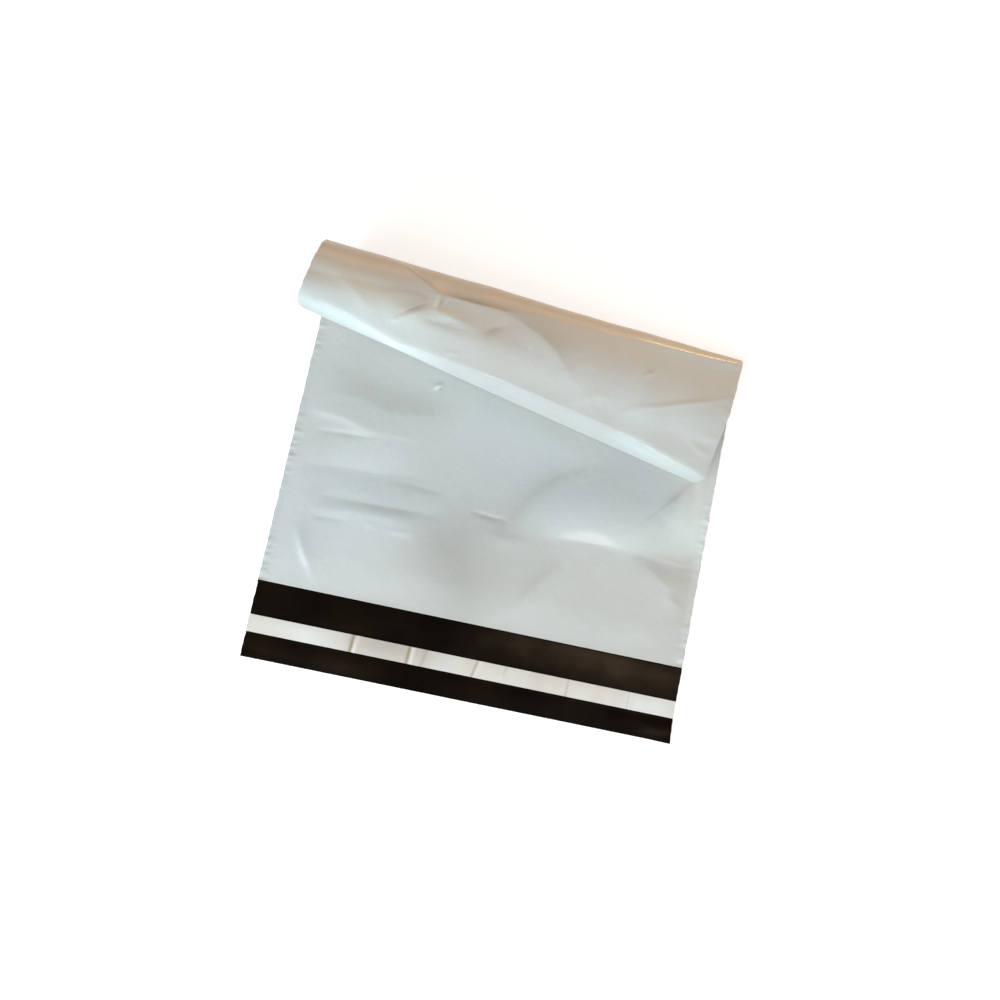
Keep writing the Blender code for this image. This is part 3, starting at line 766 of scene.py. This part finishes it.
class Nodes:
    """Short helper for building one material."""

    def __init__(self, name):
        self.material = bpy.data.materials.new(name)
        self.material.use_nodes = True
        self.tree = self.material.node_tree
        self.shader = self.tree.nodes["Principled BSDF"]
        self.position = self.add("ShaderNodeTexCoord").outputs["Object"]

    def add(self, kind, **settings):
        """A node with its settings; a setting in inputs goes to the socket of that name."""
        node = self.tree.nodes.new(kind)
        for key, value in settings.pop("inputs", {}).items():
            node.inputs[key].default_value = value
        for key, value in settings.items():
            setattr(node, key, value)
        return node

    def link(self, source, target):
        """Join an output to an input."""
        self.tree.links.new(source, target)

    def noise(self, scale, detail=3.0, roughness=0.55, stretch=(1.0, 1.0, 1.0)):
        """Noise over the object, optionally stretched along an axis."""
        mapping = self.add("ShaderNodeMapping", inputs={"Scale": stretch})
        self.link(self.position, mapping.inputs["Vector"])
        noise = self.add("ShaderNodeTexNoise", inputs={
            "Scale": scale, "Detail": detail, "Roughness": roughness})
        self.link(mapping.outputs["Vector"], noise.inputs["Vector"])
        return noise.outputs["Fac"]

    def ramp(self, value, stops):
        """A colour ramp over a value: (position, colour) stops."""
        ramp = self.add("ShaderNodeValToRGB")
        elements = ramp.color_ramp.elements
        while len(elements) < len(stops):
            elements.new(0.5)
        for element, (position, colour) in zip(elements, stops):
            element.position = position
            element.color = (*colour, 1.0)
        self.link(value, ramp.inputs["Fac"])
        return ramp.outputs["Color"]

    def with_painted_shading(self, colour, stops):
        """A colour times a ramp over the painted shade and highlights: (shading, factors) stops."""
        low, high = SHADING_RANGE
        attribute = self.add("ShaderNodeAttribute", attribute_name="painted_shading")
        share = self.add("ShaderNodeMapRange", inputs={"From Min": low, "From Max": high})
        self.link(attribute.outputs["Fac"], share.inputs["Value"])
        factors = self.ramp(share.outputs["Result"], [
            ((value - low) / (high - low), factor) for value, factor in stops])
        product = self.add("ShaderNodeVectorMath", operation="MULTIPLY")
        self.link(colour, product.inputs[0])
        self.link(factors, product.inputs[1])
        return product.outputs["Vector"]

    def spread(self, value, low, high):
        """A value of about 0.3 to 0.7 spread over low to high."""
        node = self.add("ShaderNodeMapRange", inputs={
            "From Min": 0.3, "From Max": 0.7, "To Min": low, "To Max": high})
        self.link(value, node.inputs["Value"])
        return node.outputs["Result"]

    def bump(self, value, strength, distance, before=None):
        """A bump on top of an earlier one."""
        node = self.add("ShaderNodeBump", inputs={"Strength": strength, "Distance": distance})
        self.link(value, node.inputs["Height"])
        if before is not None:
            self.link(before, node.inputs["Normal"])
        return node.outputs["Normal"]

    def finish(self, colour, roughness, normal, **constants):
        """Join the textures to the shader and set its plain values."""
        self.link(colour, self.shader.inputs["Base Color"])
        self.link(roughness, self.shader.inputs["Roughness"])
        self.link(normal, self.shader.inputs["Normal"])
        for key, value in constants.items():
            self.shader.inputs[key].default_value = value
        return self.material


def outside_material():
    """Pale grey-white film: faint cloudiness, haze, and a fine extruded grain."""
    nodes = Nodes("film_outside")
    cloud = nodes.noise(11.0, 8.0, 0.66)
    colour = nodes.ramp(cloud, (
        (0.30, (0.721, 0.762, 0.767)), (0.50, (0.752, 0.778, 0.762)),
        (0.70, (0.736, 0.742, 0.716))))
    # Painted shade darkens the colour toward a warm brown, and painted highlights lift it toward a
    # bluish white
    colour = nodes.with_painted_shading(colour, (
        (-2.0, (1.09, 1.19, 1.22)), (-1.0, (0.92, 0.99, 1.0)), (0.0, (0.767, 0.767, 0.762)),
        (1.0, (0.33, 0.29, 0.24))))
    roughness = nodes.spread(nodes.noise(60.0, 4.0), 0.36, 0.50)
    grain = nodes.bump(nodes.noise(420.0, 3.0, 0.6), 0.10, 0.0006)
    pucker = nodes.bump(nodes.noise(110.0, 4.0, 0.6), 0.22, 0.0012, grain)
    return nodes.finish(colour, roughness, pucker, **{
        "IOR": 1.40, "Specular IOR Level": 0.25, "Coat Weight": 0.38, "Coat Roughness": 0.14,
        "Coat IOR": 1.45})


def inside_material():
    """Black film: a warm black, with a brownish painted sheen in uneven patches."""
    nodes = Nodes("film_inside")
    colour = nodes.ramp(nodes.noise(18.0, 3.0), (
        (0.38, (0.016, 0.010, 0.006)), (0.66, (0.052, 0.034, 0.021))))
    # The flap's painted sheen lifts the brownish cloud to full strength; elsewhere it stays near
    # black
    colour = nodes.with_painted_shading(colour, ((0.0, (0.16, 0.14, 0.12)), (1.0, (1.0, 1.0, 1.0))))
    roughness = nodes.spread(nodes.noise(45.0, 4.0), 0.30, 0.46)
    grain = nodes.bump(nodes.noise(300.0, 3.0, 0.6), 0.12, 0.0006)
    pucker = nodes.bump(nodes.noise(70.0, 4.0, 0.6), 0.30, 0.0014, grain)
    return nodes.finish(colour, roughness, pucker, **{"IOR": 1.5, "Specular IOR Level": 0.02})


def liner_material():
    """Silicone-coated release film: a pale pinkish white with a satin face."""
    nodes = Nodes("release_liner")
    colour = nodes.ramp(nodes.noise(30.0, 2.0, 0.5, (1.0, 0.35, 1.0)), (
        (0.34, (0.880, 0.875, 0.860)), (0.50, (0.870, 0.835, 0.790)),
        (0.66, (0.800, 0.740, 0.670))))
    # Painted shade in the cockles turns the colour a dark brownish grey, and painted highlights
    # lighten it
    colour = nodes.with_painted_shading(colour, (
        (-1.0, (0.86, 0.90, 0.90)), (0.0, (0.725, 0.72, 0.70)), (1.0, (0.36, 0.30, 0.23))))
    roughness = nodes.spread(nodes.noise(80.0, 3.0), 0.32, 0.46)
    grain = nodes.bump(nodes.noise(260.0, 4.0, 0.6), 0.16, 0.0006)
    pucker = nodes.bump(nodes.noise(90.0, 3.0, 0.6, (1.0, 0.4, 1.0)), 0.24, 0.0012, grain)
    return nodes.finish(colour, roughness, pucker, **{"IOR": 1.48})


def glue_material():
    """Hot-melt adhesive: pale amber and glossy."""
    nodes = Nodes("adhesive")
    colour = nodes.ramp(nodes.noise(40.0, 3.0), (
        (0.35, (0.58, 0.49, 0.33)), (0.65, (0.66, 0.58, 0.42))))
    roughness = nodes.spread(nodes.noise(90.0, 3.0), 0.14, 0.30)
    pucker = nodes.bump(nodes.noise(160.0, 3.0), 0.30, 0.0008)
    return nodes.finish(colour, roughness, pucker, **{"IOR": 1.48})


def background_rays(tree):
    """1 for rays that see the background: from the camera, a reflection or through glass."""
    path = tree.nodes.new("ShaderNodeLightPath")
    seen = path.outputs["Is Camera Ray"]
    for name in ("Is Glossy Ray", "Is Transmission Ray"):
        either = tree.nodes.new("ShaderNodeMath")
        either.operation = "MAXIMUM"
        tree.links.new(seen, either.inputs[0])
        tree.links.new(path.outputs[name], either.inputs[1])
        seen = either.outputs["Value"]
    return seen


def build_floor():
    """A plain pale floor that shows as white and keeps the bag's shadow."""
    mesh = bmesh.new()
    bmesh.ops.create_grid(mesh, x_segments=1, y_segments=1, size=FLOOR_HALF)
    data = bpy.data.meshes.new("floor")
    mesh.to_mesh(data)
    mesh.free()
    floor = bpy.data.objects.new("floor", data)
    floor.location.z = -FLOOR_DROP
    bpy.context.scene.collection.objects.link(floor)
    material = bpy.data.materials.new("floor")
    material.use_nodes = True
    tree = material.node_tree
    tree.nodes.remove(tree.nodes["Principled BSDF"])
    diffuse = tree.nodes.new("ShaderNodeBsdfDiffuse")
    diffuse.inputs["Color"].default_value = (FLOOR_GREY, FLOOR_GREY, FLOOR_GREY, 1.0)
    strength = tree.nodes.new("ShaderNodeMath")
    strength.operation = "MULTIPLY"
    strength.inputs[1].default_value = FLOOR_GLOW
    glow = tree.nodes.new("ShaderNodeEmission")
    total = tree.nodes.new("ShaderNodeAddShader")
    tree.links.new(background_rays(tree), strength.inputs[0])
    tree.links.new(strength.outputs["Value"], glow.inputs["Strength"])
    tree.links.new(diffuse.outputs["BSDF"], total.inputs[0])
    tree.links.new(glow.outputs["Emission"], total.inputs[1])
    tree.links.new(total.outputs["Shader"], tree.nodes["Material Output"].inputs["Surface"])
    data.materials.append(material)


def build_world():
    """Even pale light all round, and plain white where the background is seen."""
    world = bpy.data.worlds.new("studio")
    world.use_nodes = True
    tree = world.node_tree
    background = tree.nodes["Background"]
    strength = tree.nodes.new("ShaderNodeMapRange")
    strength.inputs["To Min"].default_value = WORLD_LIGHT
    strength.inputs["To Max"].default_value = 1.0
    tree.links.new(background_rays(tree), strength.inputs["Value"])
    tree.links.new(strength.outputs["Result"], background.inputs["Strength"])
    background.inputs["Color"].default_value = (1.0, 1.0, 1.0, 1.0)
    bpy.context.scene.world = world


def add_area_light(name, place, target, size, power, colour):
    """A soft light that faces a point, its long side level and across its beam."""
    data = bpy.data.lights.new(name, "AREA")
    data.shape = "RECTANGLE"
    data.size = size[0]
    data.size_y = size[1]
    data.energy = power
    data.color = colour
    light = bpy.data.objects.new(name, data)
    bpy.context.scene.collection.objects.link(light)
    forward = Vector(target) - Vector(place)
    light.matrix_world = Matrix.LocRotScale(
        Vector(place), forward.to_track_quat("-Z", "Y"), Vector((1.0, 1.0, 1.0)))


def build_lights():
    """Soft light: a key and a strip above, a cool front, a warm back and a small golden lamp."""
    for light in LIGHTS:
        add_area_light(*light)


def build_camera():
    """The photograph's viewpoint, turned into the frame."""
    data = bpy.data.cameras.new("camera")
    data.lens = CAMERA_LENS
    data.clip_start = 0.01
    data.clip_end = 20.0
    camera = bpy.data.objects.new("camera", data)
    bpy.context.scene.collection.objects.link(camera)
    place = (CAMERA_PLACE[0] + LEFT_X, CAMERA_PLACE[1] + FLAP_Y, CAMERA_PLACE[2])
    camera.matrix_world = Matrix([
        (CAMERA_RIGHT[axis], -CAMERA_DOWN[axis], -CAMERA_FORWARD[axis], place[axis])
        for axis in range(3)] + [(0.0, 0.0, 0.0, 1.0)])
    bpy.context.scene.camera = camera


def build_bag():
    """The three pieces of the bag, each in place of its CAD node."""
    film = build_film((outside_material(), inside_material()))
    glue = build_strip("adhesive_strip_skin", GLUE_LOW, GLUE_HIGH, GLUE_SEAT, GLUE_THICKNESS, (),
                       glue_material(), GLUE_COLUMNS)
    liner = build_strip("release_liner_skin", LINER_LOW, LINER_HIGH, LINER_SEAT, LINER_THICKNESS,
                        LINER_COCKLES, liner_material(), LINER_COLUMNS)
    for piece, node, slot in ((film, "mailer_film", "film"), (glue, "adhesive_strip", "adhesive"),
                              (liner, "release_liner", "liner")):
        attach(piece, "root")
        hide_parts(node)


build_camera()
build_world()
build_floor()
build_lights()
build_bag()
bpy.context.scene.view_settings.view_transform = "Standard"
